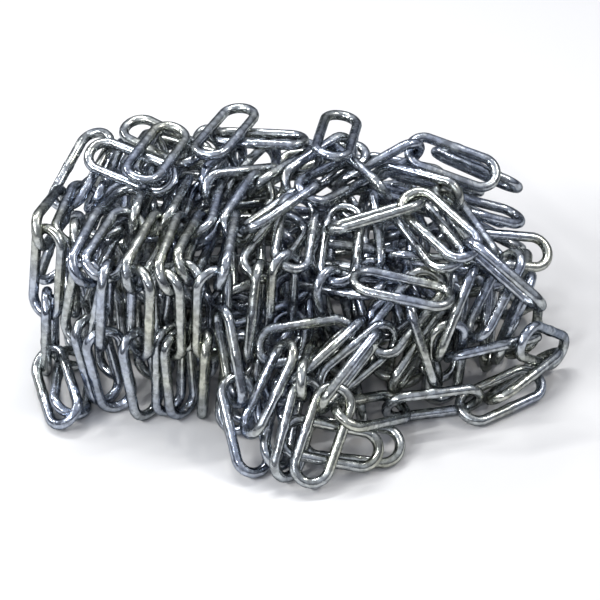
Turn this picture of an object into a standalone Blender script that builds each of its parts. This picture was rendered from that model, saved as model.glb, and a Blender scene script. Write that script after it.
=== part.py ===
"""A heap of long-link steel chain, welded from 4 mm zinc-plated wire.

The chain lies on a level floor. Its outer runs are real links, threaded through each other along
routes that are chosen by hand. A second layer of links lies under them, on a plain core that stands
for the chain deeper in the heap. Lengths are in millimetres up to the last step, which turns them to
metres. +Z is up, +X is to the right and -Y is the front. The origin is on the floor under the middle
of the heap.
"""

import math

import bmesh
import bpy
import numpy as np
from mathutils import Matrix, Vector

# The link: outside length and width, and the wire that it is bent from
WIRE = 4.0
LINK_LENGTH = 40.0
LINK_WIDTH = 17.0
PITCH = LINK_LENGTH - 2 * WIRE
END_RADIUS = (LINK_WIDTH - WIRE) / 2
HALF_STRAIGHT = (LINK_LENGTH - LINK_WIDTH) / 2

# How the wire is drawn here: chords for each rounded end, bevel steps, and how far its corners stand out
END_CHORDS = 3
WIRE_BEVEL = 1
WIRE_CORNER_RADIUS = 2.15

# Distances between wire centres: in links that bear on each other, and between links that don't hang together
BEARING = 3.4
CLEARANCE = 4.45
REACH = LINK_WIDTH + CLEARANCE

# The core is a union of rounded lobes: centre x and y, half width, half depth, height, squareness
CORE_LOBES = (
    (-40.0, 20.0, 38.0, 38.0, 40.0, 4.0),
    (38.0, 22.0, 39.0, 36.0, 34.0, 3.0),
    (2.0, -22.0, 18.0, 24.0, 11.0, 2.5),
)
CORE_ROOM = 2.6
CORE_SIDES = 28
CORE_RINGS = 7

# The second layer of chain, which shows through the gaps: strands laid over each lobe of the core, from its
# front foot to its back foot. How far their middle lies off the lobe, how far apart they are, and how near
# their wires' centres may come to the core that they are joined to
UNDER_LIFT = 7.0
UNDER_SPACING = 18.0
UNDER_ROOM = 1.2
OUTLINE_STEPS = 400

# How the links are seated
LAYER = 14.0
SEATING_STEPS = 900
PRESSING_STEPS = 300
PRESS = 0.05
HOLD = 0.02
HEAP_MIDDLE = (0.0, 10.0, 10.0)
GYRATION = (6.0, 11.0, 12.0)

# Finishes: linear colour and roughness
ZINC_COLOUR = (0.52, 0.55, 0.58)
ZINC_ROUGHNESS = 0.3
CORE_COLOUR = (0.05, 0.055, 0.06)
CORE_ROUGHNESS = 0.6

# Where the photograph was taken from, for the routes that are read off it: its camera looks along +Y and
# down. The focal length is in pixels of the 600 x 600 photograph
CAMERA_ELEVATION = 38.0
CAMERA_DISTANCE = 700.0
CAMERA_TARGET = (0.0, 0.0, 25.0)
FOCAL_LENGTH = 1800.0
PICTURE_MIDDLE = (300.0, 303.0)

# Routes of the runs that the photograph shows. Each starts with two numbers: its layer, 0 for what was laid
# first, and the roll of its first link in degrees, 0 where its open face looks at the camera. Then come the
# points where one link hangs in the next, about a pitch apart: pixel across, pixel down, and height
SEEN_RUNS = {
    "left_drape_1": (
        (1, 0), (54, 418, 3), (48, 364, 5), (42, 300, 36), (47, 236, 60), (62, 197, 57), (104, 131, 74)
    ),
    "left_drape_2": (
        (0, 90), (74, 414, 3), (63, 362, 5), (62, 299, 36), (66, 236, 62), (88, 188, 64), (112, 142, 64)
    ),
    "left_drape_3": (
        (0, 45), (90, 400, 3), (81, 333, 34), (82, 268, 64), (106, 220, 66), (130, 172, 66), (150, 130, 60)
    ),
    "left_drape_4": (
        (1, 0), (109, 404, 3), (98, 336, 34), (100, 268, 65), (124, 220, 66), (148, 172, 66), (170, 128, 64)
    ),
    "left_drape_5": (
        (0, 45), (140, 412, 3), (136, 345, 34), (134, 273, 66), (158, 225, 67), (182, 178, 67), (206, 136, 66)
    ),
    "left_drape_6": (
        (0, 45), (164, 410, 3), (164, 343, 34), (162, 274, 65), (186, 226, 66), (210, 178, 66), (238, 136, 64)
    ),
    "left_drape_7": (
        (0, 45), (181, 412, 3), (181, 345, 34), (181, 275, 65), (205, 227, 65), (233, 181, 65), (268, 142, 64)
    ),
    "left_drape_8": (
        (1, 90), (196, 412, 3), (204, 345, 34), (208, 270, 64), (234, 220, 65), (264, 180, 66), (306, 146, 64)
    ),
    "left_drape_9": ((0, 0), (246, 420, 4), (250, 350, 34), (264, 266, 60), (296, 200, 68)),
    "left_top_1": ((2, 20), (127, 130, 69), (194, 158, 69)),
    "left_top_2": ((3, 40), (174, 140, 71), (136, 184, 70)),
    "left_top_3": ((2, 10), (98, 154, 69), (158, 180, 69)),
    "centre_drape_1": ((1, 0), (306, 200, 64), (280, 262, 58), (287, 330, 27)),
    "centre_drape_2": ((1, 0), (343, 200, 62), (340, 268, 50), (340, 340, 20)),
    "centre_drape_3": ((0, 90), (378, 195, 60), (372, 262, 50), (376, 334, 20)),
    "centre_cross": ((2, 0), (255, 336, 28), (340, 329, 30), (288, 380, 22)),
    "centre_bar": ((0, 70), (212, 290, 44), (296, 283, 46), (374, 306, 42)),
    "front_diagonal": ((3, 80), (254, 430, 14), (302, 358, 34)),
    "front_loop_1": ((2, 15), (254, 469, 4), (231, 386, 26), (222, 322, 42)),
    "front_loop_2": ((0, 70), (282, 474, 4), (284, 390, 20), (292, 322, 28)),
    "front_loop_3": ((3, 0), (308, 481, 4), (328, 402, 26), (360, 336, 38)),
    "front_loop_4": ((1, 0), (284, 474, 8), (304, 390, 34), (330, 328, 38)),
    "front_loop_5": ((2, 0), (294, 434, 12), (365, 459, 4)),
    "front_loop_6": ((1, 0), (308, 444, 6), (386, 462, 4)),
    "front_fork": ((1, 60), (336, 396, 26), (386, 336, 34), (424, 276, 46)),
    "roof": ((3, 75), (340, 232, 60), (414, 202, 67), (473, 250, 65), (547, 303, 48)),
    "roof_under": ((2, 60), (400, 216, 60), (450, 278, 50)),
    "right_slope_1": ((2, 90), (470, 264, 50), (438, 337, 30), (446, 395, 4)),
    "right_slope_2": ((1, 68), (538, 282, 44), (503, 350, 24)),
    "right_slope_3": ((1, 50), (512, 262, 50), (482, 328, 32)),
    "right_floor": ((3, -46), (334, 409, 24), (401, 409, 10), (468, 411, 4), (541, 385, 3)),
    "right_rise": ((3, 75), (496, 388, 9), (564, 356, 9), (514, 322, 31)),
    "right_shelf": ((2, 80), (540, 349, 20), (462, 360, 20)),
    "right_loop": ((0, 0), (549, 250, 36), (468, 254, 38)),
    "back_right_1": ((2, -80), (344, 176, 60), (416, 153, 64), (494, 177, 58)),
    "back_right_2": ((0, 59), (521, 214, 44), (446, 194, 56), (374, 174, 60)),
    "back_right_3": ((1, 80), (446, 148, 62), (517, 177, 54)),
    "back_right_4": ((1, 30), (376, 178, 62), (450, 190, 62), (484, 258, 50)),
    "mid_cross": ((3, 80), (366, 288, 50), (446, 301, 48)),
    "mid_steep_1": ((2, 90), (412, 296, 40), (438, 371, 16)),
    "mid_steep_2": ((1, 60), (432, 308, 36), (412, 390, 14)),
    "mid_arc_1": ((0, 0), (318, 256, 54), (402, 268, 46), (470, 268, 46)),
    "mid_arc_2": ((0, 0), (382, 324, 32), (448, 272, 46)),
    "top_upright_1": ((3, 40), (239, 113, 76), (209, 157, 71)),
    "top_upright_2": ((3, 0), (341, 123, 70), (330, 186, 60)),
    "top_long": ((3, 70), (218, 141, 69), (296, 144, 68)),
    "top_flat": ((1, 75), (204, 183, 64), (282, 173, 64)),
    "top_arch": ((2, 10), (292, 176, 66), (352, 150, 66), (388, 192, 62)),
    "top_diagonal": ((2, 80), (244, 228, 62), (304, 194, 66), (356, 158, 66)),
}

# Routes of the runs on the sides that the photograph doesn't show, in x, y and z. The roll is 0 where the
# first link's open face looks away from the heap
HIDDEN_RUNS = {
    "back_1": ((0, 45), (-84, 67, 8), (-54, 76, 8), (-22, 78, 7), (10, 78, 8), (42, 76, 7), (72, 67, 8)),
    "back_2": (
        (0, 45), (-78, 72, 23), (-47, 78, 21), (-15, 76, 24), (17, 78, 22), (49, 74, 23), (78, 62, 24)
    ),
    "back_3": (
        (0, 45), (-86, 60, 39), (-57, 71, 40), (-25, 74, 38), (7, 73, 40), (39, 71, 39), (69, 60, 38)
    ),
    "back_4": ((0, 45), (-70, 64, 52), (-40, 70, 52), (-8, 68, 50), (24, 67, 46), (55, 62, 43)),
    "back_5": ((0, 45), (-62, 50, 60), (-30, 53, 60), (2, 52, 59)),
    "left_side_1": ((0, 45), (-90, 0, 8), (-91, 32, 8), (-84, 63, 8)),
    "left_side_2": ((0, 45), (-90, 6, 24), (-89, 38, 25), (-80, 69, 24)),
    "left_side_3": ((0, 45), (-92, 2, 42), (-90, 34, 42), (-82, 65, 40)),
    "right_side_1": ((0, 45), (90, -8, 9), (90, 24, 8), (82, 54, 9)),
    "right_side_2": ((0, 45), (86, 4, 22), (86, 36, 23), (74, 65, 24)),
}


def link_corners():
    """Corners of a link's wire centre line, in its own frame: x along it, y across it."""
    turn = math.pi / END_CHORDS
    radius = END_RADIUS * 2 / (1 + math.cos(turn / 2))
    corners = []
    for side in (1, -1):
        for step in range(END_CHORDS + 1):
            angle = -math.pi / 2 + step * turn
            x = side * (HALF_STRAIGHT + radius * math.cos(angle))
            y = side * radius * math.sin(angle)
            corners.append((x, y, 0.0))
    return np.array(corners)


def seen_at(across, down, height):
    """The point at this height that the photograph shows at this pixel."""
    elevation = math.radians(CAMERA_ELEVATION)
    back = Vector((0, -math.cos(elevation), math.sin(elevation)))
    up = Vector((0, math.sin(elevation), math.cos(elevation)))
    eye = Vector(CAMERA_TARGET) + CAMERA_DISTANCE * back
    sight = Vector((across - PICTURE_MIDDLE[0], 0, 0)) - up * (down - PICTURE_MIDDLE[1])
    sight = sight / FOCAL_LENGTH - back
    return eye + sight * ((height - eye.z) / sight.z)


def towards_camera(_point):
    elevation = math.radians(CAMERA_ELEVATION)
    return Vector((0, -math.cos(elevation), math.sin(elevation)))


def away_from_heap(point):
    return (point - Vector(HEAP_MIDDLE)).normalized()


def thread(layer, roll, bearings, facing):
    """Places of the links of one run: where they are laid from, where they belong, and their axes."""
    starts, centres, turns = [], [], []
    for number, (start, end) in enumerate(zip(bearings, bearings[1:])):
        along = (end - start).normalized()
        out = facing((start + end) / 2)
        out = (out - along * out.dot(along)).normalized()
        normal = Matrix.Rotation(math.radians(roll + 90 * number), 3, along) @ out
        centres.append((start + end) / 2)
        starts.append(centres[-1] + facing(centres[-1]) * LAYER * layer)
        turns.append(Matrix((along, normal.cross(along), normal)).transposed())
    return starts, centres, turns


def outer_runs():
    """Every outer run's name with its links' places, before they are seated."""
    runs = {}
    for name, ((layer, roll), *points) in SEEN_RUNS.items():
        runs[name] = thread(layer + 1, roll, [seen_at(*point) for point in points], towards_camera)
    for name, ((layer, roll), *points) in HIDDEN_RUNS.items():
        runs[name] = thread(layer + 1, roll, [Vector(point) for point in points], away_from_heap)
    return runs


def softened(share, power):
    """What a cosine or sine becomes on a rounded box instead of an ellipse."""
    return math.copysign(abs(share) ** (2 / power), share)


def strand_over(lobe, offset):
    """Points a pitch apart over a lobe of the core, in the upright plane at this x from its middle."""
    x, y, half_width, half_depth, height, power = lobe
    share = (1 - (abs(offset) / (half_width + UNDER_LIFT)) ** power) ** (1 / power)
    points = []
    for step in range(1, OUTLINE_STEPS):
        angle = math.pi * step / OUTLINE_STEPS
        across = -(half_depth + UNDER_LIFT) * share * softened(math.cos(angle), power)
        lift = (height + UNDER_LIFT) * share * softened(math.sin(angle), power)
        point = Vector((x + offset, y + across, lift))
        if lift > UNDER_LIFT and (not points or (point - points[-1]).length > PITCH):
            points.append(point)
    return points


def under_runs():
    """The strands of the second layer by name, before they are seated."""
    runs = {}
    for number, lobe in enumerate(CORE_LOBES):
        reach = int(lobe[2] / UNDER_SPACING)
        for place in range(-reach, reach + 1):
            points = strand_over(lobe, place * UNDER_SPACING)
            if len(points) > 1:
                runs[f"under_{number + 1}_{place + reach + 1}"] = thread(0, 45, points, away_from_heap)
    return runs


def dot(a, b):
    return a[..., 0] * b[..., 0] + a[..., 1] * b[..., 1] + a[..., 2] * b[..., 2]


def cross(a, b):
    x = a[..., 1] * b[..., 2] - a[..., 2] * b[..., 1]
    y = a[..., 2] * b[..., 0] - a[..., 0] * b[..., 2]
    z = a[..., 0] * b[..., 1] - a[..., 1] * b[..., 0]
    return np.stack([x, y, z], axis=-1)


def turned(turns, vectors):
    """The vectors, each turned by its own matrix."""
    return sum(turns[..., :, k] * vectors[..., k : k + 1] for k in range(3))


def nearest_between(start_a, end_a, start_b, end_b):
    """Nearest points of the line pieces a and b, row by row."""
    a, b, gap = end_a - start_a, end_b - start_b, start_a - start_b
    aa, bb, ab, ag, bg = dot(a, a), dot(b, b), dot(a, b), dot(a, gap), dot(b, gap)
    spread = aa * bb - ab * ab
    askew = spread > 1e-6 * aa * bb
    s = np.where(askew, (ab * bg - ag * bb) / np.where(askew, spread, 1.0), 0.5)
    s = np.clip(s, 0, 1)
    t = np.clip((ab * s + bg) / bb, 0, 1)
    s = np.clip((ab * t - ag) / aa, 0, 1)
    return start_a + a * s[..., None], start_b + b * t[..., None]


class Heap:
    """The links of all the runs, and the moves that seat them."""

    def __init__(self, outer, under):
        runs = outer | under
        self.names = list(runs)
        places = [(n, *place) for n, run in enumerate(runs.values()) for place in zip(*run)]
        self.run_of, self.centres, self.planned, self.planned_turns = map(np.array, zip(*places))
        self.turns = self.planned_turns
        self.corners = link_corners()
        self.room = np.where(self.run_of < len(outer), CORE_ROOM, UNDER_ROOM)

    def wires(self):
        """Corners of every link's wire, in the heap's frame."""
        return self.centres[:, None, :] + turned(self.turns[:, None, :, :], self.corners[None, :, :])

    def near_pairs(self):
        """Pairs of links near enough to touch, and whether the second hangs in the first."""
        first, second = np.triu_indices(len(self.centres), 1)
        half = self.turns[:, :, 0] * HALF_STRAIGHT
        back, front = self.centres - half, self.centres + half
        on_first, on_second = nearest_between(back[first], front[first], back[second], front[second])
        near = dot(on_first - on_second, on_first - on_second) < REACH**2
        first, second = first[near], second[near]
        linked = (second == first + 1) & (self.run_of[first] == self.run_of[second])
        return first, second, linked

    def contacts(self):
        """Where wires come too near or a joint is open: both links, their points, the push on the first."""
        wires = self.wires()
        ends = np.roll(wires, -1, axis=1)
        first, second, linked = self.near_pairs()
        sides = wires.shape[1]
        a = (wires[first][:, :, None, :], ends[first][:, :, None, :])
        b = (wires[second][:, None, :, :], ends[second][:, None, :, :])
        on_a, on_b = nearest_between(*a, *b)
        between = on_a - on_b
        distance = np.sqrt(dot(between, between))
        wanted = np.where(linked, BEARING, CLEARANCE)
        chosen = distance < wanted[:, None, None]
        closest = np.argmin(distance.reshape(len(first), -1), axis=1)
        joined = np.nonzero(linked)[0]
        chosen[joined, closest[joined] // sides, closest[joined] % sides] = True
        pair, i, j = np.nonzero(chosen)
        distance = np.maximum(distance[pair, i, j], 1e-6)
        push = ((wanted[pair] - distance) / distance)[:, None] * between[pair, i, j]
        return first[pair], second[pair], on_a[pair, i, j], on_b[pair, i, j], push

    def give_way(self, links, points, pushes, share):
        """Notes how links shift and turn so that the given points of theirs move by the pushes."""
        size = np.sqrt(dot(pushes, pushes))
        pushed = size > 1e-9
        links, points, pushes, size = links[pushed], points[pushed], pushes[pushed], size[pushed]
        direction = pushes / size[:, None]
        lever = cross(points - self.centres[links], direction)
        turns = self.turns[links]
        swing = turned(turns, turned(np.swapaxes(turns, 1, 2), lever) / np.array(GYRATION) ** 2)
        amount = (size * share / (1 + dot(lever, swing)))[:, None]
        self.shift += self.summed(links, direction * amount)
        self.swing += self.summed(links, swing * amount)
        self.pushes += np.bincount(links, minlength=len(self.centres))

    def summed(self, links, vectors):
        """Sum of the vectors for each link."""
        total = len(self.centres)
        return np.stack([np.bincount(links, vectors[:, k], total) for k in range(3)], axis=1)

    def step(self, strength):
        """One round of seating, in which every link gives way to what it touches."""
        total = len(self.centres)
        self.shift, self.swing, self.pushes = np.zeros((total, 3)), np.zeros((total, 3)), np.zeros(total)
        first, second, on_a, on_b, push = self.contacts()
        self.give_way(first, on_a, push, 0.5)
        self.give_way(second, on_b, -push, 0.5)
        wires = self.wires()
        sides = np.roll(wires, -1, axis=1) - wires
        points = np.concatenate([wires + sides * share for share in (0, 0.25, 0.5, 0.75)], axis=1)
        links = np.repeat(np.arange(total), points.shape[1])
        points = points.reshape(-1, 3)
        self.give_way(links, points, floor_push(points), 1.0)
        for lobe in CORE_LOBES:
            self.give_way(links, points, lobe_push(points, lobe, self.room[links]), 1.0)
        ease = (1.6 / np.maximum(self.pushes, 1.6))[:, None]
        inward = np.array(HEAP_MIDDLE) * (1, 1, 0) - self.centres * (0.5, 0.5, 1)
        inward /= np.sqrt(dot(inward, inward))[:, None]
        kept = strength * (PRESS * inward + HOLD * (self.planned - self.centres))
        self.centres = self.centres + self.shift * ease + kept
        back = sum(cross(self.turns[:, :, k], self.planned_turns[:, :, k]) for k in (0, 1, 2)) / 2
        self.turn_by(self.swing * ease + strength * HOLD * back)

    def turn_by(self, swing):
        """Turns each link by its small swing, and keeps its axes square."""
        along = self.turns[:, :, 0] + cross(swing, self.turns[:, :, 0])
        across = self.turns[:, :, 1] + cross(swing, self.turns[:, :, 1])
        along /= np.sqrt(dot(along, along))[:, None]
        across -= along * dot(along, across)[:, None]
        across /= np.sqrt(dot(across, across))[:, None]
        self.turns = np.round(np.stack([along, across, cross(along, across)], axis=2), 9)
        self.centres = np.round(self.centres, 6)

    def seat(self):
        """Presses the runs onto the core and each other, then lets them spread until no wires overlap."""
        for number in range(SEATING_STEPS):
            self.step(min(1.0, max(0.0, 2 - 2 * number / PRESSING_STEPS)))


def floor_push(points):
    """What lifts points of the wires onto the floor."""
    push = np.zeros_like(points)
    push[:, 2] = np.maximum(0.0, WIRE_CORNER_RADIUS - points[:, 2])
    return push


def lobe_push(points, lobe, room):
    """What moves points of the wires out of one lobe of the core, each to its own distance."""
    x, y, half_width, half_depth, height, power = lobe
    sides = np.array([half_width, half_depth, height]) + room[:, None]
    own = points - np.array([x, y, 0.0])
    share = np.abs(own) / sides
    level = np.maximum((share**power).sum(axis=1), 1e-6)
    normal = np.sign(own) * share ** (power - 1) / sides
    normal /= np.maximum(np.sqrt(dot(normal, normal)), 1e-9)[:, None]
    reach = own * (level ** (-1 / power) - 1)[:, None]
    depth = np.where(level < 1, dot(reach, normal), 0.0)
    return normal * np.maximum(depth, 0.0)[:, None]


def clear_scene():
    for thing in list(bpy.data.objects):
        bpy.data.objects.remove(thing)


def steel(name, colour, roughness):
    """A bare metal material."""
    material = bpy.data.materials.new(name)
    material.use_nodes = True
    shader = material.node_tree.nodes["Principled BSDF"]
    shader.inputs["Base Color"].default_value = (*colour, 1.0)
    shader.inputs["Metallic"].default_value = 1.0
    shader.inputs["Roughness"].default_value = roughness
    return material


def link_mesh():
    """One link in its own frame: a closed tube along the centre line of its wire."""
    curve = bpy.data.curves.new("link_wire", "CURVE")
    curve.dimensions = "3D"
    curve.bevel_depth = WIRE_CORNER_RADIUS
    curve.bevel_resolution = WIRE_BEVEL
    wire = curve.splines.new("POLY")
    corners = link_corners()
    wire.points.add(len(corners) - 1)
    for point, corner in zip(wire.points, corners):
        point.co = (*corner, 1.0)
    wire.use_cyclic_u = True
    drawn = bpy.data.objects.new("link_wire", curve)
    mesh = bpy.data.meshes.new_from_object(drawn)
    bpy.data.objects.remove(drawn)
    return mesh


def lobe_mesh(lobe):
    """The upper half of one rounded lobe of the core, in the heap's frame, with a flat underside."""
    x, y, half_width, half_depth, height, power = lobe
    built = bmesh.new()
    rings = []
    for ring in range(CORE_RINGS):
        lift = math.pi / 2 * ring / CORE_RINGS
        corners = []
        for side in range(CORE_SIDES):
            angle = 2 * math.pi * side / CORE_SIDES
            across = softened(math.cos(lift), power)
            place = (
                x + half_width * across * softened(math.cos(angle), power),
                y + half_depth * across * softened(math.sin(angle), power),
                height * softened(math.sin(lift), power),
            )
            corners.append(built.verts.new(place))
        rings.append(corners)
    for lower, upper in zip(rings, rings[1:]):
        for side in range(CORE_SIDES):
            after = (side + 1) % CORE_SIDES
            built.faces.new((lower[side], lower[after], upper[after], upper[side]))
    top = built.verts.new((x, y, height))
    for side in range(CORE_SIDES):
        built.faces.new((rings[-1][side], rings[-1][(side + 1) % CORE_SIDES], top))
    built.faces.new(rings[0][::-1])
    mesh = bpy.data.meshes.new("lobe")
    built.to_mesh(mesh)
    built.free()
    return mesh


def fused(name, solids):
    """One mesh out of closed meshes that reach into each other."""
    scene = bpy.context.scene.collection
    base = bpy.data.objects.new(name, solids[0])
    scene.objects.link(base)
    others = [bpy.data.objects.new("joined", solid) for solid in solids[1:]]
    for other in others:
        scene.objects.link(other)
        union = base.modifiers.new("union", "BOOLEAN")
        union.operation = "UNION"
        union.solver = "EXACT"
        union.object = other
    seen = base.evaluated_get(bpy.context.evaluated_depsgraph_get())
    mesh = bpy.data.meshes.new_from_object(seen)
    for helper in [base, *others]:
        bpy.data.objects.remove(helper)
    mesh.name = name
    return mesh


def placed(link, centres, turns):
    """Copies of the link at their places in the heap."""
    solids = []
    for centre, turn in zip(centres, turns):
        solid = link.copy()
        solid.transform(Matrix.Translation(Vector(centre)) @ Matrix(turn.tolist()).to_4x4())
        solids.append(solid)
    return solids


def box_of(meshes):
    corners = np.array([corner.co for mesh in meshes for corner in mesh.vertices])
    return corners.min(axis=0), corners.max(axis=0)


def place(mesh, material, shift, parent):
    """Makes a node of the mesh, with its origin in its own middle, and turns millimetres to metres."""
    low, high = box_of([mesh])
    middle = Vector((low + high) / 2)
    mesh.transform(Matrix.Scale(0.001, 4) @ Matrix.Translation(-middle))
    mesh.shade_smooth()
    mesh.materials.clear()
    mesh.materials.append(material)
    node = bpy.data.objects.new(mesh.name, mesh)
    node.location = (middle + shift) * 0.001
    node.parent = parent
    bpy.context.scene.collection.objects.link(node)


def main():
    clear_scene()
    outer = outer_runs()
    heap = Heap(outer, under_runs())
    heap.seat()
    link = link_mesh()
    runs = []
    for number, name in enumerate(outer):
        mine = heap.run_of == number
        runs.append(fused(name, placed(link, heap.centres[mine], heap.turns[mine])))
    inside = heap.run_of >= len(outer)
    lobes = [lobe_mesh(lobe) for lobe in CORE_LOBES]
    core = fused("heap_core", lobes + placed(link, heap.centres[inside], heap.turns[inside]))
    low, high = box_of([*runs, core])
    shift = Vector((-(low[0] + high[0]) / 2, -(low[1] + high[1]) / 2, 0))
    parent = bpy.data.objects.new("chain_heap", None)
    bpy.context.scene.collection.objects.link(parent)
    zinc = steel("zinc_plated_steel", ZINC_COLOUR, ZINC_ROUGHNESS)
    for mesh in runs:
        place(mesh, zinc, shift, parent)
    place(core, steel("shaded_steel", CORE_COLOUR, CORE_ROUGHNESS), shift, parent)


if __name__ == "__main__":
    main()
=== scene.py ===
"""A heap of long-link steel chain as it looks, every link of it bright zinc-plated wire.

The outer runs are threaded and seated as in the construction, so each link lies where its solid
lies. The chain inside the heap takes the place of the plain core. Lengths are in millimetres up to
the last step of each piece, which turns them to metres.
"""

import math

import bmesh
import bpy
import numpy as np
from mathutils import Matrix, Vector


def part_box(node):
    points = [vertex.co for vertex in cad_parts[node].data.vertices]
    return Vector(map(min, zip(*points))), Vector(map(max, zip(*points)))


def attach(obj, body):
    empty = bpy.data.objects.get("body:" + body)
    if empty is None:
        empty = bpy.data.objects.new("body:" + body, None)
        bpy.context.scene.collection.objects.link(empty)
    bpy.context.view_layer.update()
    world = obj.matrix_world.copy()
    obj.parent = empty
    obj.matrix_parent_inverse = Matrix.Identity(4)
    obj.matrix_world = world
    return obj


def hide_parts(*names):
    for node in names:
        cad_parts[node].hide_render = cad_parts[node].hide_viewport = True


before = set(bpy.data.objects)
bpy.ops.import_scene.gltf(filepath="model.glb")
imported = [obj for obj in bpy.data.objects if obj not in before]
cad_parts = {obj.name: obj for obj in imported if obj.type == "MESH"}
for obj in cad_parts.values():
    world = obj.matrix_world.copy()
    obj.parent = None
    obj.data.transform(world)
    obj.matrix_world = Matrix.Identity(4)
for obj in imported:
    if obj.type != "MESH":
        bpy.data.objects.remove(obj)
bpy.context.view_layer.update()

MM = 0.001

# The link: outside length and width, and the wire that it is bent from
WIRE = 4.0
LINK_LENGTH = 40.0
LINK_WIDTH = 17.0
PITCH = LINK_LENGTH - 2 * WIRE
END_RADIUS = (LINK_WIDTH - WIRE) / 2
HALF_STRAIGHT = (LINK_LENGTH - LINK_WIDTH) / 2

# The outline of a link by which the seating tells where its wire runs, and how far its tube stands out
END_CHORDS = 3
WIRE_CORNER_RADIUS = 2.15

# Distances between wire centres: in links that bear on each other, and between links that don't hang together
BEARING = 3.4
CLEARANCE = 4.45
REACH = LINK_WIDTH + CLEARANCE

# The core is a union of rounded lobes: centre x and y, half width, half depth, height, squareness
CORE_LOBES = (
    (-40.0, 20.0, 38.0, 38.0, 40.0, 4.0),
    (38.0, 22.0, 39.0, 36.0, 34.0, 3.0),
    (2.0, -22.0, 18.0, 24.0, 11.0, 2.5),
)
CORE_ROOM = 2.6

# The second layer of chain, which shows through the gaps: strands laid over each lobe of the core, from its
# front foot to its back foot. How far their middle lies off the lobe, how far apart they are, how near their
# wires' centres may come to the lobe, the roll of their first link, and how finely a lobe's outline is walked
UNDER_LIFT = 7.0
UNDER_SPACING = 18.0
UNDER_ROOM = 1.2
UNDER_ROLL = 45
OUTLINE_STEPS = 400

# How the links are seated: how far out each layer starts, the rounds of seating, and how many of them press.
# In a round a link is pulled inwards by PRESS and goes the share HOLD of the way back to its planned place.
# Its turning follows its radii of gyration, and pushed in more than EASE places at once, it gives way less.
# The pull weighs how far out a link lies in x, y and z, and a wire meets the floor and the core at some
# shares of each side of its outline
LAYER = 14.0
SEATING_STEPS = 900
PRESSING_STEPS = 300
PRESS = 0.05
HOLD = 0.02
EASE = 1.6
HEAP_MIDDLE = (0.0, 10.0, 10.0)
PULL_WEIGHTS = (0.5, 0.5, 1)
GYRATION = (6.0, 11.0, 12.0)
SIDE_SHARES = (0, 0.25, 0.5, 0.75)

# Places and axes are rounded to these digits after each round, so that every run of the script ends the same.
# Lengths and shares under the last two count as none
PLACE_DIGITS = 6
AXIS_DIGITS = 9
SMALL = 1e-6
TINY = 1e-9

# The chain inside, which takes the core's place and fills the gaps up to the outer runs: the heights of its
# layers, how far apart the rows in a layer are, how far they may run, how far past the core they may lie in
# x, y and z, how near their wires' centres may come to others', and the rounds in which they find room
INNER_LAYERS = (6.5, 17.5, 28.5, 39.5, 50.5, 60.5)
INNER_SPACING = 12.0
INNER_REACH = 100.0
INNER_MARGIN = (5.0, 12.0, 26.0)
INNER_ROOM = 3.4
FILLING_STEPS = 120

# Each row inside starts a share of a pitch later than the one before, and its links are tucked together a
# little. It waves: how far to either side, the length that goes with a radian, and the radians between rows
ROW_STAGGER = 0.37
ROW_PITCH = PITCH * 0.985
WAVE_HEIGHT = 2.0
WAVE_RADIAN = 19.0
WAVE_TURN = 2.1

# How finely a link is modelled: steps round its ends and sides of its wire. Its weld swells the wire on one
# long side: where rings are cut round the wire, and how much the rings at these distances swell
RING_STEPS = 28
WIRE_SIDES = 12
WELD_CUTS = (-2.4, -1.2, 0.0, 1.2, 2.4)
WELD_RINGS = ((0.0, 1.1), (1.2, 1.07))

# How far past the link's middle a corner lies that is pulled out, and how near to a ring one that is swelled
MIDDLE_SLACK = 0.01
RING_SLACK = 0.1

# The plate's colour, which goes from a cold to a warm grey over patches of this size, and its tint where it
# is seen at a slant
ZINC_BLUE = "#B4BCCA"
ZINC_WARM = "#C4C6BA"
ZINC_EDGE = "#808488"
TINT_SIZE = 28.0
TINT_SPAN = (0.38, 0.68)
TINT_DETAIL = 3.0

# The dull mottling of the plate: the share of its colour that it keeps in the brightest and dullest patches
MOTTLED = (1.0, 0.55)
MOTTLE_SIZE = 2.2
MOTTLE_SPAN = (0.38, 0.62)
MOTTLE_DETAIL = 5.0

# The haze on the plate: its roughness where it is clean and where it is hazy
ZINC_GLOSS = (0.1, 0.34)
HAZE_SIZE = 4.0
HAZE_SPAN = (0.35, 0.7)
HAZE_DETAIL = 6.0

# The orange peel of the plate. In real plate it is finer: it is drawn as coarse as it needs to show
PEEL_SIZE = 1.2
PEEL_HEIGHT = 0.12
PEEL_STRENGTH = 0.6
PEEL_DETAIL = 4.0

# The card that the heap lies on
CARD_GREY = "#C0C0C0"
CARD_ROUGHNESS = 0.9
CARD_SIZE = 6000.0

# The studio: a room that is dark up to the first height and pale from the second, as the sine of the angle
# over the horizon, and lights by place, length and width, power in watts and colour, all turned to the heap
ROOM_LOW = (0.1, "#50545E")
ROOM_HIGH = (0.7, "#D2D6E2")
LIGHT_TARGET = (0.0, 0.0, 20.0)
LIGHTS = {
    "left_strip": ((-600.0, -350.0, 600.0), (500.0, 20.0), 6.5, "#FFFFFF"),
    "back_strip": ((-100.0, 300.0, 850.0), (500.0, 20.0), 5.8, "#FFFFFF"),
    "right_strip": ((500.0, 0.0, 700.0), (300.0, 20.0), 2.2, "#FFFAF2"),
    "back_left_strip": ((-700.0, 300.0, 500.0), (300.0, 30.0), 2.0, "#FFFFFF"),
    "front_lamp": ((-300.0, -800.0, 500.0), (60.0, 60.0), 1.5, "#F4F8FF"),
}

# Where the photograph was taken from, for the routes that are read off it: its camera looks along +Y and
# down. The focal length and the picture's middle are in pixels of the 600 x 600 photograph
CAMERA_ELEVATION = 38.0
CAMERA_DISTANCE = 700.0
CAMERA_TARGET = (0.0, 0.0, 25.0)
FOCAL_LENGTH = 1800.0
PICTURE_MIDDLE = (300.0, 303.0)
PICTURE_SIZE = 600.0

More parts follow.
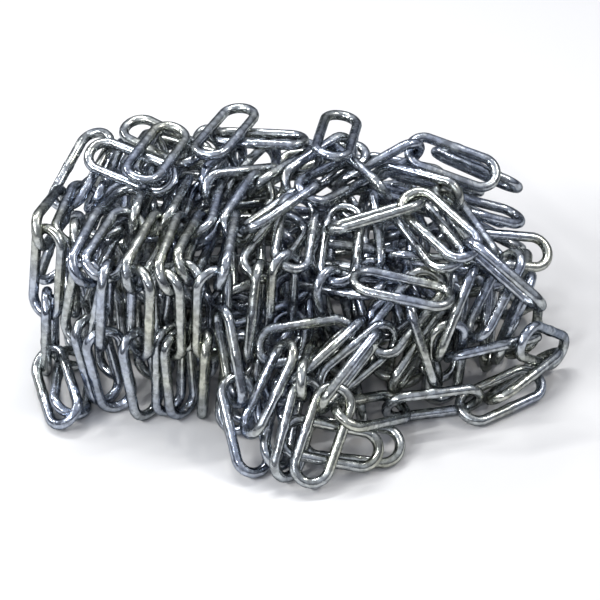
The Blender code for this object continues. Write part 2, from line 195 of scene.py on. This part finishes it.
# The camera's sensor in millimetres, and the nearest that it sees in metres
SENSOR_WIDTH = 36.0
NEAREST_SEEN = 0.01

# Routes of the runs that the photograph shows. Each starts with two numbers: its layer, 0 for what was laid
# first, and the roll of its first link in degrees, 0 where its open face looks at the camera. Then come the
# points where one link hangs in the next, about a pitch apart: pixel across, pixel down, and height
SEEN_RUNS = {
    "left_drape_1": (
        (1, 0), (54, 418, 3), (48, 364, 5), (42, 300, 36), (47, 236, 60), (62, 197, 57), (104, 131, 74)
    ),
    "left_drape_2": (
        (0, 90), (74, 414, 3), (63, 362, 5), (62, 299, 36), (66, 236, 62), (88, 188, 64), (112, 142, 64)
    ),
    "left_drape_3": (
        (0, 45), (90, 400, 3), (81, 333, 34), (82, 268, 64), (106, 220, 66), (130, 172, 66), (150, 130, 60)
    ),
    "left_drape_4": (
        (1, 0), (109, 404, 3), (98, 336, 34), (100, 268, 65), (124, 220, 66), (148, 172, 66), (170, 128, 64)
    ),
    "left_drape_5": (
        (0, 45), (140, 412, 3), (136, 345, 34), (134, 273, 66), (158, 225, 67), (182, 178, 67), (206, 136, 66)
    ),
    "left_drape_6": (
        (0, 45), (164, 410, 3), (164, 343, 34), (162, 274, 65), (186, 226, 66), (210, 178, 66), (238, 136, 64)
    ),
    "left_drape_7": (
        (0, 45), (181, 412, 3), (181, 345, 34), (181, 275, 65), (205, 227, 65), (233, 181, 65), (268, 142, 64)
    ),
    "left_drape_8": (
        (1, 90), (196, 412, 3), (204, 345, 34), (208, 270, 64), (234, 220, 65), (264, 180, 66), (306, 146, 64)
    ),
    "left_drape_9": ((0, 0), (246, 420, 4), (250, 350, 34), (264, 266, 60), (296, 200, 68)),
    "left_top_1": ((2, 20), (127, 130, 69), (194, 158, 69)),
    "left_top_2": ((3, 40), (174, 140, 71), (136, 184, 70)),
    "left_top_3": ((2, 10), (98, 154, 69), (158, 180, 69)),
    "centre_drape_1": ((1, 0), (306, 200, 64), (280, 262, 58), (287, 330, 27)),
    "centre_drape_2": ((1, 0), (343, 200, 62), (340, 268, 50), (340, 340, 20)),
    "centre_drape_3": ((0, 90), (378, 195, 60), (372, 262, 50), (376, 334, 20)),
    "centre_cross": ((2, 0), (255, 336, 28), (340, 329, 30), (288, 380, 22)),
    "centre_bar": ((0, 70), (212, 290, 44), (296, 283, 46), (374, 306, 42)),
    "front_diagonal": ((3, 80), (254, 430, 14), (302, 358, 34)),
    "front_loop_1": ((2, 15), (254, 469, 4), (231, 386, 26), (222, 322, 42)),
    "front_loop_2": ((0, 70), (282, 474, 4), (284, 390, 20), (292, 322, 28)),
    "front_loop_3": ((3, 0), (308, 481, 4), (328, 402, 26), (360, 336, 38)),
    "front_loop_4": ((1, 0), (284, 474, 8), (304, 390, 34), (330, 328, 38)),
    "front_loop_5": ((2, 0), (294, 434, 12), (365, 459, 4)),
    "front_loop_6": ((1, 0), (308, 444, 6), (386, 462, 4)),
    "front_fork": ((1, 60), (336, 396, 26), (386, 336, 34), (424, 276, 46)),
    "roof": ((3, 75), (340, 232, 60), (414, 202, 67), (473, 250, 65), (547, 303, 48)),
    "roof_under": ((2, 60), (400, 216, 60), (450, 278, 50)),
    "right_slope_1": ((2, 90), (470, 264, 50), (438, 337, 30), (446, 395, 4)),
    "right_slope_2": ((1, 68), (538, 282, 44), (503, 350, 24)),
    "right_slope_3": ((1, 50), (512, 262, 50), (482, 328, 32)),
    "right_floor": ((3, -46), (334, 409, 24), (401, 409, 10), (468, 411, 4), (541, 385, 3)),
    "right_rise": ((3, 75), (496, 388, 9), (564, 356, 9), (514, 322, 31)),
    "right_shelf": ((2, 80), (540, 349, 20), (462, 360, 20)),
    "right_loop": ((0, 0), (549, 250, 36), (468, 254, 38)),
    "back_right_1": ((2, -80), (344, 176, 60), (416, 153, 64), (494, 177, 58)),
    "back_right_2": ((0, 59), (521, 214, 44), (446, 194, 56), (374, 174, 60)),
    "back_right_3": ((1, 80), (446, 148, 62), (517, 177, 54)),
    "back_right_4": ((1, 30), (376, 178, 62), (450, 190, 62), (484, 258, 50)),
    "mid_cross": ((3, 80), (366, 288, 50), (446, 301, 48)),
    "mid_steep_1": ((2, 90), (412, 296, 40), (438, 371, 16)),
    "mid_steep_2": ((1, 60), (432, 308, 36), (412, 390, 14)),
    "mid_arc_1": ((0, 0), (318, 256, 54), (402, 268, 46), (470, 268, 46)),
    "mid_arc_2": ((0, 0), (382, 324, 32), (448, 272, 46)),
    "top_upright_1": ((3, 40), (239, 113, 76), (209, 157, 71)),
    "top_upright_2": ((3, 0), (341, 123, 70), (330, 186, 60)),
    "top_long": ((3, 70), (218, 141, 69), (296, 144, 68)),
    "top_flat": ((1, 75), (204, 183, 64), (282, 173, 64)),
    "top_arch": ((2, 10), (292, 176, 66), (352, 150, 66), (388, 192, 62)),
    "top_diagonal": ((2, 80), (244, 228, 62), (304, 194, 66), (356, 158, 66)),
}

# Routes of the runs on the sides that the photograph doesn't show, in x, y and z. The roll is 0 where the
# first link's open face looks away from the heap
HIDDEN_RUNS = {
    "back_1": ((0, 45), (-84, 67, 8), (-54, 76, 8), (-22, 78, 7), (10, 78, 8), (42, 76, 7), (72, 67, 8)),
    "back_2": (
        (0, 45), (-78, 72, 23), (-47, 78, 21), (-15, 76, 24), (17, 78, 22), (49, 74, 23), (78, 62, 24)
    ),
    "back_3": (
        (0, 45), (-86, 60, 39), (-57, 71, 40), (-25, 74, 38), (7, 73, 40), (39, 71, 39), (69, 60, 38)
    ),
    "back_4": ((0, 45), (-70, 64, 52), (-40, 70, 52), (-8, 68, 50), (24, 67, 46), (55, 62, 43)),
    "back_5": ((0, 45), (-62, 50, 60), (-30, 53, 60), (2, 52, 59)),
    "left_side_1": ((0, 45), (-90, 0, 8), (-91, 32, 8), (-84, 63, 8)),
    "left_side_2": ((0, 45), (-90, 6, 24), (-89, 38, 25), (-80, 69, 24)),
    "left_side_3": ((0, 45), (-92, 2, 42), (-90, 34, 42), (-82, 65, 40)),
    "right_side_1": ((0, 45), (90, -8, 9), (90, 24, 8), (82, 54, 9)),
    "right_side_2": ((0, 45), (86, 4, 22), (86, 36, 23), (74, 65, 24)),
}


def link_corners():
    """Corners of a link's wire centre line, in its own frame: x along it, y across it."""
    turn = math.pi / END_CHORDS
    radius = END_RADIUS * 2 / (1 + math.cos(turn / 2))
    corners = []
    for side in (1, -1):
        for step in range(END_CHORDS + 1):
            angle = -math.pi / 2 + step * turn
            x = side * (HALF_STRAIGHT + radius * math.cos(angle))
            y = side * radius * math.sin(angle)
            corners.append((x, y, 0.0))
    return np.array(corners)


def camera_axes():
    """The way back to the camera, and the way that is up in its picture."""
    elevation = math.radians(CAMERA_ELEVATION)
    back = Vector((0, -math.cos(elevation), math.sin(elevation)))
    up = Vector((0, math.sin(elevation), math.cos(elevation)))
    return back, up


def seen_at(across, down, height):
    """The point at this height that the photograph shows at this pixel."""
    back, up = camera_axes()
    eye = Vector(CAMERA_TARGET) + CAMERA_DISTANCE * back
    sight = Vector((across - PICTURE_MIDDLE[0], 0, 0)) - up * (down - PICTURE_MIDDLE[1])
    sight = sight / FOCAL_LENGTH - back
    return eye + sight * ((height - eye.z) / sight.z)


def towards_camera(_point):
    """The way that the links face that the photograph shows, the same for all of them."""
    return camera_axes()[0]


def away_from_heap(point):
    """The way that a link at this point faces on the sides that the photograph doesn't show."""
    return (point - Vector(HEAP_MIDDLE)).normalized()


def thread(layer, roll, bearings, facing):
    """Places of the links of one run: where they are laid from, where they belong, and their axes."""
    starts, centres, turns = [], [], []
    for number, (start, end) in enumerate(zip(bearings, bearings[1:])):
        along = (end - start).normalized()
        out = facing((start + end) / 2)
        out = (out - along * out.dot(along)).normalized()
        normal = Matrix.Rotation(math.radians(roll + 90 * number), 3, along) @ out
        centres.append((start + end) / 2)
        starts.append(centres[-1] + facing(centres[-1]) * LAYER * layer)
        turns.append(Matrix((along, normal.cross(along), normal)).transposed())
    return starts, centres, turns


def outer_runs():
    """Every outer run's name with its links' places, before they are seated."""
    runs = {}
    for name, ((layer, roll), *points) in SEEN_RUNS.items():
        runs[name] = thread(layer + 1, roll, [seen_at(*point) for point in points], towards_camera)
    for name, ((layer, roll), *points) in HIDDEN_RUNS.items():
        runs[name] = thread(layer + 1, roll, [Vector(point) for point in points], away_from_heap)
    return runs


def softened(share, power):
    """What a cosine or sine becomes on a rounded box instead of an ellipse."""
    return math.copysign(abs(share) ** (2 / power), share)


def strand_over(lobe, offset):
    """Points a pitch apart over a lobe of the core, in the upright plane at this x from its middle."""
    x, y, half_width, half_depth, height, power = lobe
    share = (1 - (abs(offset) / (half_width + UNDER_LIFT)) ** power) ** (1 / power)
    points = []
    for step in range(1, OUTLINE_STEPS):
        angle = math.pi * step / OUTLINE_STEPS
        across = -(half_depth + UNDER_LIFT) * share * softened(math.cos(angle), power)
        lift = (height + UNDER_LIFT) * share * softened(math.sin(angle), power)
        point = Vector((x + offset, y + across, lift))
        if lift > UNDER_LIFT and (not points or (point - points[-1]).length > PITCH):
            points.append(point)
    return points


def under_runs():
    """The strands of the second layer by name, before they are seated."""
    runs = {}
    for number, lobe in enumerate(CORE_LOBES):
        reach = int(lobe[2] / UNDER_SPACING)
        for place in range(-reach, reach + 1):
            points = strand_over(lobe, place * UNDER_SPACING)
            if len(points) > 1:
                name = f"under_{number + 1}_{place + reach + 1}"
                runs[name] = thread(0, UNDER_ROLL, points, away_from_heap)
    return runs


def dot(a, b):
    """Dot product of the vectors in the last place, row by row."""
    return a[..., 0] * b[..., 0] + a[..., 1] * b[..., 1] + a[..., 2] * b[..., 2]


def cross(a, b):
    """Cross product of the vectors in the last place, row by row."""
    x = a[..., 1] * b[..., 2] - a[..., 2] * b[..., 1]
    y = a[..., 2] * b[..., 0] - a[..., 0] * b[..., 2]
    z = a[..., 0] * b[..., 1] - a[..., 1] * b[..., 0]
    return np.stack([x, y, z], axis=-1)


def turned(turns, vectors):
    """The vectors, each turned by its own matrix."""
    return sum(turns[..., :, k] * vectors[..., k : k + 1] for k in range(3))


def nearest_between(start_a, end_a, start_b, end_b):
    """Nearest points of the line pieces a and b, row by row."""
    a, b, gap = end_a - start_a, end_b - start_b, start_a - start_b
    aa, bb, ab, ag, bg = dot(a, a), dot(b, b), dot(a, b), dot(a, gap), dot(b, gap)
    spread = aa * bb - ab * ab
    askew = spread > SMALL * aa * bb
    s = np.where(askew, (ab * bg - ag * bb) / np.where(askew, spread, 1.0), 0.5)
    s = np.clip(s, 0, 1)
    t = np.clip((ab * s + bg) / bb, 0, 1)
    s = np.clip((ab * t - ag) / aa, 0, 1)
    return start_a + a * s[..., None], start_b + b * t[..., None]


class Heap:
    """The links of all the runs, and the moves that seat them."""

    def __init__(self, outer, under):
        runs = outer | under
        self.names = list(runs)
        places = [(n, *place) for n, run in enumerate(runs.values()) for place in zip(*run)]
        self.run_of, self.centres, self.planned, self.planned_turns = map(np.array, zip(*places))
        self.turns = self.planned_turns
        self.corners = link_corners()
        self.lobes = CORE_LOBES
        self.room = np.where(self.run_of < len(outer), CORE_ROOM, UNDER_ROOM)

    def wires(self):
        """Corners of every link's wire, in the heap's frame."""
        return self.centres[:, None, :] + turned(self.turns[:, None, :, :], self.corners[None, :, :])

    def near_pairs(self):
        """Pairs of links near enough to touch, and whether the second hangs in the first."""
        first, second = np.triu_indices(len(self.centres), 1)
        half = self.turns[:, :, 0] * HALF_STRAIGHT
        back, front = self.centres - half, self.centres + half
        on_first, on_second = nearest_between(back[first], front[first], back[second], front[second])
        near = dot(on_first - on_second, on_first - on_second) < REACH**2
        first, second = first[near], second[near]
        linked = (second == first + 1) & (self.run_of[first] == self.run_of[second])
        return first, second, linked

    def contacts(self):
        """Where wires come too near or a joint is open: both links, their points, the push on the first."""
        wires = self.wires()
        ends = np.roll(wires, -1, axis=1)
        first, second, linked = self.near_pairs()
        sides = wires.shape[1]
        a = (wires[first][:, :, None, :], ends[first][:, :, None, :])
        b = (wires[second][:, None, :, :], ends[second][:, None, :, :])
        on_a, on_b = nearest_between(*a, *b)
        between = on_a - on_b
        distance = np.sqrt(dot(between, between))
        wanted = np.where(linked, BEARING, CLEARANCE)
        chosen = distance < wanted[:, None, None]
        closest = np.argmin(distance.reshape(len(first), -1), axis=1)
        joined = np.nonzero(linked)[0]
        chosen[joined, closest[joined] // sides, closest[joined] % sides] = True
        pair, i, j = np.nonzero(chosen)
        distance = np.maximum(distance[pair, i, j], SMALL)
        push = ((wanted[pair] - distance) / distance)[:, None] * between[pair, i, j]
        return first[pair], second[pair], on_a[pair, i, j], on_b[pair, i, j], push

    def give_way(self, links, points, pushes, share):
        """Notes how links shift and turn so that the given points of theirs move by the pushes."""
        size = np.sqrt(dot(pushes, pushes))
        pushed = size > TINY
        links, points, pushes, size = links[pushed], points[pushed], pushes[pushed], size[pushed]
        direction = pushes / size[:, None]
        lever = cross(points - self.centres[links], direction)
        turns = self.turns[links]
        swing = turned(turns, turned(np.swapaxes(turns, 1, 2), lever) / np.array(GYRATION) ** 2)
        amount = (size * share / (1 + dot(lever, swing)))[:, None]
        self.shift += self.summed(links, direction * amount)
        self.swing += self.summed(links, swing * amount)
        self.pushes += np.bincount(links, minlength=len(self.centres))

    def summed(self, links, vectors):
        """Sum of the vectors for each link."""
        total = len(self.centres)
        return np.stack([np.bincount(links, vectors[:, k], total) for k in range(3)], axis=1)

    def step(self, strength):
        """One round of seating, in which every link gives way to what it touches."""
        total = len(self.centres)
        self.shift, self.swing, self.pushes = np.zeros((total, 3)), np.zeros((total, 3)), np.zeros(total)
        first, second, on_a, on_b, push = self.contacts()
        self.give_way(first, on_a, push, 0.5)
        self.give_way(second, on_b, -push, 0.5)
        wires = self.wires()
        sides = np.roll(wires, -1, axis=1) - wires
        points = np.concatenate([wires + sides * share for share in SIDE_SHARES], axis=1)
        links = np.repeat(np.arange(total), points.shape[1])
        points = points.reshape(-1, 3)
        self.give_way(links, points, floor_push(points), 1.0)
        for lobe in self.lobes:
            self.give_way(links, points, lobe_push(points, lobe, self.room[links]), 1.0)
        ease = (EASE / np.maximum(self.pushes, EASE))[:, None]
        inward = np.array(HEAP_MIDDLE) * (1, 1, 0) - self.centres * PULL_WEIGHTS
        inward /= np.sqrt(dot(inward, inward))[:, None]
        kept = strength * (PRESS * inward + HOLD * (self.planned - self.centres))
        self.centres = self.centres + self.shift * ease + kept
        back = sum(cross(self.turns[:, :, k], self.planned_turns[:, :, k]) for k in (0, 1, 2)) / 2
        self.turn_by(self.swing * ease + strength * HOLD * back)

    def turn_by(self, swing):
        """Turns each link by its small swing, and keeps its axes square."""
        along = self.turns[:, :, 0] + cross(swing, self.turns[:, :, 0])
        across = self.turns[:, :, 1] + cross(swing, self.turns[:, :, 1])
        along /= np.sqrt(dot(along, along))[:, None]
        across -= along * dot(along, across)[:, None]
        across /= np.sqrt(dot(across, across))[:, None]
        self.turns = np.round(np.stack([along, across, cross(along, across)], axis=2), AXIS_DIGITS)
        self.centres = np.round(self.centres, PLACE_DIGITS)

    def seat(self):
        """Presses the runs onto the core and each other, then lets them spread until no wires overlap."""
        # The pull keeps its full strength for the first half of the pressing steps, then it fades out
        for number in range(SEATING_STEPS):
            self.step(min(1.0, max(0.0, 2 - 2 * number / PRESSING_STEPS)))


def floor_push(points):
    """What lifts points of the wires onto the floor."""
    push = np.zeros_like(points)
    push[:, 2] = np.maximum(0.0, WIRE_CORNER_RADIUS - points[:, 2])
    return push


def lobe_push(points, lobe, room):
    """What moves points of the wires out of one lobe of the core, each to its own distance."""
    x, y, half_width, half_depth, height, power = lobe
    sides = np.array([half_width, half_depth, height]) + room[:, None]
    own = points - np.array([x, y, 0.0])
    share = np.abs(own) / sides
    level = np.maximum((share**power).sum(axis=1), SMALL)
    normal = np.sign(own) * share ** (power - 1) / sides
    normal /= np.maximum(np.sqrt(dot(normal, normal)), TINY)[:, None]
    reach = own * (level ** (-1 / power) - 1)[:, None]
    depth = np.where(level < 1, dot(reach, normal), 0.0)
    return normal * np.maximum(depth, 0.0)[:, None]


def room_inside(x, y, z):
    """Whether a point lies in the core or near enough to it for the chain inside."""
    for middle_x, middle_y, half_width, half_depth, height, power in CORE_LOBES:
        sides = np.array([half_width, half_depth, height]) + np.array(INNER_MARGIN)
        share = np.abs(np.array([x - middle_x, y - middle_y, z]) / sides)
        if (share**power).sum() < 1:
            return True
    return False


def inner_runs():
    """The runs inside: layers of rows, each layer across the one below, with a slow wave in every row."""
    runs = {}
    for layer, height in enumerate(INNER_LAYERS):
        rows = np.arange(-INNER_REACH, INNER_REACH, INNER_SPACING)
        for number, side in enumerate(rows):
            start = -INNER_REACH + PITCH * (ROW_STAGGER * number % 1)
            points = []
            for along in np.arange(start, INNER_REACH, ROW_PITCH):
                wave = WAVE_HEIGHT * math.sin(along / WAVE_RADIAN + WAVE_TURN * number + layer)
                place = (along, side + wave) if layer % 2 else (side + wave, along)
                if room_inside(*place, height):
                    points.append(Vector((*place, height + wave / 2)))
            if len(points) > 1:
                runs[f"inner_{layer + 1}_{number + 1}"] = thread(0, UNDER_ROLL, points, away_from_heap)
    return runs


def roomy_links(heap, seated):
    """Which links to keep: all the seated ones, and those inside that found room."""
    wires = heap.wires()
    ends = np.roll(wires, -1, axis=1)
    first, second, linked = heap.near_pairs()
    a = (wires[first][:, :, None, :], ends[first][:, :, None, :])
    b = (wires[second][:, None, :, :], ends[second][:, None, :, :])
    on_a, on_b = nearest_between(*a, *b)
    between = (on_a - on_b).reshape(len(first), -1, 3)
    nearest = np.sqrt(dot(between, between)).min(axis=1)
    keep = np.ones(len(heap.centres), bool)
    for pair in np.argsort(nearest):
        tight = nearest[pair] < INNER_ROOM and not linked[pair]
        if tight and keep[first[pair]] and keep[second[pair]] and second[pair] >= seated:
            keep[second[pair]] = False
    return keep


def filled(outer, under):
    """The seated heap with the chain inside, which gives way to itself and to the links that are seated."""
    heap = Heap(outer, under)
    heap.seat()
    seated = len(heap.centres)
    settled = heap.centres, heap.turns
    full = Heap(outer, under | inner_runs())
    full.lobes = ()
    for _ in range(FILLING_STEPS):
        full.centres[:seated], full.turns[:seated] = settled
        full.step(0.0)
    full.centres[:seated], full.turns[:seated] = settled
    keep = roomy_links(full, seated)
    full.centres, full.turns, full.run_of = full.centres[keep], full.turns[keep], full.run_of[keep]
    return full


def add_object(operator, **settings):
    """Adds a primitive with nothing else selected, and returns it."""
    bpy.ops.object.select_all(action="DESELECT")
    operator(**settings)
    return bpy.context.object


def select_corners(piece, chosen):
    """Goes to edit mode with only the corners selected that lie where chosen says."""
    bpy.ops.object.mode_set(mode="EDIT")
    bpy.ops.mesh.select_all(action="DESELECT")
    shape = bmesh.from_edit_mesh(piece.data)
    for corner in shape.verts:
        corner.select = chosen(corner.co / MM)
    shape.select_flush(True)
    bmesh.update_edit_mesh(piece.data)


def model_link():
    """One link, modelled once: a ring of wire pulled out to its length, with its weld on one long side."""
    link = add_object(
        bpy.ops.mesh.primitive_torus_add,
        major_segments=RING_STEPS,
        minor_segments=WIRE_SIDES,
        major_radius=END_RADIUS * MM,
        minor_radius=WIRE / 2 * MM,
        rotation=(0, 0, math.pi / RING_STEPS),
    )
    bpy.ops.object.transform_apply(location=False, rotation=True, scale=False)
    for side in (1, -1):
        select_corners(link, lambda place: place.x * side > MIDDLE_SLACK)
        bpy.ops.transform.translate(value=(side * HALF_STRAIGHT * MM, 0, 0))
        bpy.ops.object.mode_set(mode="OBJECT")
    for cut in WELD_CUTS:
        select_corners(link, lambda place: place.y > 0)
        bpy.ops.mesh.bisect(plane_co=(cut * MM, 0, 0), plane_no=(1, 0, 0))
        bpy.ops.object.mode_set(mode="OBJECT")
    for reach, swelling in WELD_RINGS:
        select_corners(link, lambda place: place.y > 0 and abs(abs(place.x) - reach) < RING_SLACK)
        swell = (1, swelling, swelling)
        bpy.ops.transform.resize(value=swell, center_override=(0, END_RADIUS * MM, 0))
        bpy.ops.object.mode_set(mode="OBJECT")
    bpy.ops.object.shade_smooth()
    return link


def lay_run(name, link, centres, turns, shift):
    """One run of links, each a copy of the modelled one, joined as one piece at its place."""
    bpy.ops.object.select_all(action="DESELECT")
    for centre, turn in zip(centres, turns):
        copy = link.copy()
        copy.data = link.data.copy()
        copy.data.transform(Matrix.Translation(Vector(centre) * MM + shift) @ Matrix(turn.tolist()).to_4x4())
        bpy.context.scene.collection.objects.link(copy)
        copy.select_set(True)
        bpy.context.view_layer.objects.active = copy
    if len(centres) > 1:
        bpy.ops.object.join()
    piece = bpy.context.view_layer.objects.active
    piece.name = name
    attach(piece, "root")
    return piece


def linear(hex_colour):
    """An sRGB hex colour as the linear red, green, blue and alpha that the shader takes."""
    shares = [int(hex_colour[start : start + 2], 16) / 255 for start in (1, 3, 5)]
    return (*[((c + 0.055) / 1.055) ** 2.4 if c > 0.04045 else c / 12.92 for c in shares], 1.0)


def add_node(owner, kind, settings=(), links=()):
    """Adds a node to a material or world, with its sockets set by the settings or linked to other sockets."""
    node = owner.node_tree.nodes.new(kind)
    for name, value in dict(settings).items():
        node.inputs[name].default_value = value
    for name, socket in dict(links).items():
        owner.node_tree.links.new(socket, node.inputs[name])
    return node


def zinc_plate():
    """Bright zinc plate on drawn wire, passivated blue: a cool grey mirror, mottled and a little hazy."""
    material = bpy.data.materials.new("bright_zinc_plate")
    material.use_nodes = True
    tree = material.node_tree
    shader = tree.nodes["Principled BSDF"]
    shader.inputs["Metallic"].default_value = 1.0
    shader.inputs["Specular Tint"].default_value = linear(ZINC_EDGE)
    where = {"Vector": add_node(material, "ShaderNodeTexCoord").outputs["Object"]}

    # The passivation's tint, which drifts from blue to straw along the chain
    size = {"Scale": 1000 / TINT_SIZE, "Detail": TINT_DETAIL}
    tint = add_node(material, "ShaderNodeTexNoise", size, where)
    colour = add_node(material, "ShaderNodeValToRGB", links={"Fac": tint.outputs["Fac"]})
    for stop, place, shade in zip(colour.color_ramp.elements, TINT_SPAN, (ZINC_BLUE, ZINC_WARM)):
        stop.position = place
        stop.color = linear(shade)

    # Duller specks, which break up the reflections along a wire
    size = {"Scale": 1000 / MOTTLE_SIZE, "Detail": MOTTLE_DETAIL}
    mottle = add_node(material, "ShaderNodeTexNoise", size, where)
    ends = dict(zip(("From Min", "From Max", "To Min", "To Max"), MOTTLE_SPAN + MOTTLED))
    kept = add_node(material, "ShaderNodeMapRange", ends, {"Value": mottle.outputs["Fac"]})
    given = {"Value": kept.outputs["Result"], "Color": colour.outputs["Color"]}
    dulled = add_node(material, "ShaderNodeHueSaturation", links=given)

    # Haze, where the highlights spread
    size = {"Scale": 1000 / HAZE_SIZE, "Detail": HAZE_DETAIL}
    haze = add_node(material, "ShaderNodeTexNoise", size, where)
    ends = dict(zip(("From Min", "From Max", "To Min", "To Max"), HAZE_SPAN + ZINC_GLOSS))
    gloss = add_node(material, "ShaderNodeMapRange", ends, {"Value": haze.outputs["Fac"]})

    # Orange peel, which makes the highlights run unevenly
    size = {"Scale": 1000 / PEEL_SIZE, "Detail": PEEL_DETAIL}
    peel = add_node(material, "ShaderNodeTexNoise", size, where)
    height = {"Strength": PEEL_STRENGTH, "Distance": PEEL_HEIGHT * MM}
    bump = add_node(material, "ShaderNodeBump", height, {"Height": peel.outputs["Fac"]})

    tree.links.new(dulled.outputs["Color"], shader.inputs["Base Color"])
    tree.links.new(gloss.outputs["Result"], shader.inputs["Roughness"])
    tree.links.new(bump.outputs["Normal"], shader.inputs["Normal"])
    return material


def pale_card():
    """The matt pale grey card that the heap lies on, which the studio lights to white."""
    material = bpy.data.materials.new("matt_pale_card")
    material.use_nodes = True
    shader = material.node_tree.nodes["Principled BSDF"]
    shader.inputs["Base Color"].default_value = linear(CARD_GREY)
    shader.inputs["Roughness"].default_value = CARD_ROUGHNESS
    shader.inputs["Specular IOR Level"].default_value = 0.0
    return material


def lay_card():
    """The floor of the studio."""
    card = add_object(bpy.ops.mesh.primitive_plane_add, size=CARD_SIZE * MM)
    card.name = "card"
    card.data.materials.append(pale_card())


def aim(thing, place, target):
    """Puts a camera or light at its place, facing the target."""
    thing.location = place
    thing.rotation_euler = (Vector(target) - Vector(place)).to_track_quat("-Z", "Y").to_euler()
    bpy.context.scene.collection.objects.link(thing)


def add_light(name, place, size, power, colour, shift):
    """A rectangular light, in millimetres, turned to the heap."""
    data = bpy.data.lights.new(name, "AREA")
    data.shape = "RECTANGLE"
    data.size, data.size_y = size[0] * MM, size[1] * MM
    data.energy = power
    data.color = linear(colour)[:3]
    aim(bpy.data.objects.new(name, data), Vector(place) * MM + shift, Vector(LIGHT_TARGET) * MM + shift)


def light_studio(shift):
    """The room around the heap, and the strips of light that draw a line along each wire."""
    world = bpy.data.worlds.new("studio")
    bpy.context.scene.world = world
    world.use_nodes = True
    towards = add_node(world, "ShaderNodeTexCoord").outputs["Generated"]
    split = add_node(world, "ShaderNodeSeparateXYZ", links={"Vector": towards})
    room = add_node(world, "ShaderNodeValToRGB", links={"Fac": split.outputs["Z"]})
    for stop, (height, shade) in zip(room.color_ramp.elements, (ROOM_LOW, ROOM_HIGH)):
        stop.position = height
        stop.color = linear(shade)
    world.node_tree.links.new(room.outputs["Color"], world.node_tree.nodes["Background"].inputs["Color"])
    bpy.context.scene.view_settings.view_transform = "Standard"
    for name, (place, size, power, colour) in LIGHTS.items():
        add_light(name, place, size, power, colour, shift)


def add_camera(shift):
    """The camera of the photograph, whose routes are read off through it."""
    data = bpy.data.cameras.new("photo_camera")
    data.sensor_width = SENSOR_WIDTH
    data.lens = FOCAL_LENGTH / PICTURE_SIZE * SENSOR_WIDTH
    data.shift_x = (PICTURE_SIZE / 2 - PICTURE_MIDDLE[0]) / PICTURE_SIZE
    data.shift_y = (PICTURE_MIDDLE[1] - PICTURE_SIZE / 2) / PICTURE_SIZE
    data.clip_start = NEAREST_SEEN
    camera = bpy.data.objects.new("photo_camera", data)
    back, _ = camera_axes()
    target = Vector(CAMERA_TARGET) * MM + shift
    aim(camera, target + back * CAMERA_DISTANCE * MM, target)
    bpy.context.scene.camera = camera


def frame_shift(heap, outer):
    """How far the frame's origin lies from the point that the routes are measured from."""
    wires = heap.wires()
    shifts = []
    for number, name in enumerate(outer):
        corners = wires[heap.run_of == number].reshape(-1, 3)
        own_middle = (corners.min(axis=0) + corners.max(axis=0)) / 2 * MM
        shifts.append(np.mean(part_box(name), axis=0) - own_middle)
    across, back, _ = np.median(shifts, axis=0)
    return Vector((across, back, 0))


def main():
    """Dresses every run, and sets up the studio and the camera."""
    outer = outer_runs()
    heap = filled(outer, under_runs())
    shift = frame_shift(heap, outer)
    link = model_link()
    link.data.materials.append(zinc_plate())
    for number, name in enumerate(heap.names):
        mine = heap.run_of == number
        if not mine.any():
            continue
        piece = lay_run(f"{name}_links", link, heap.centres[mine], heap.turns[mine], shift)
        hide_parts(name if name in outer else "heap_core")
    bpy.data.objects.remove(link)
    lay_card()
    light_studio(shift)
    add_camera(shift)


main()
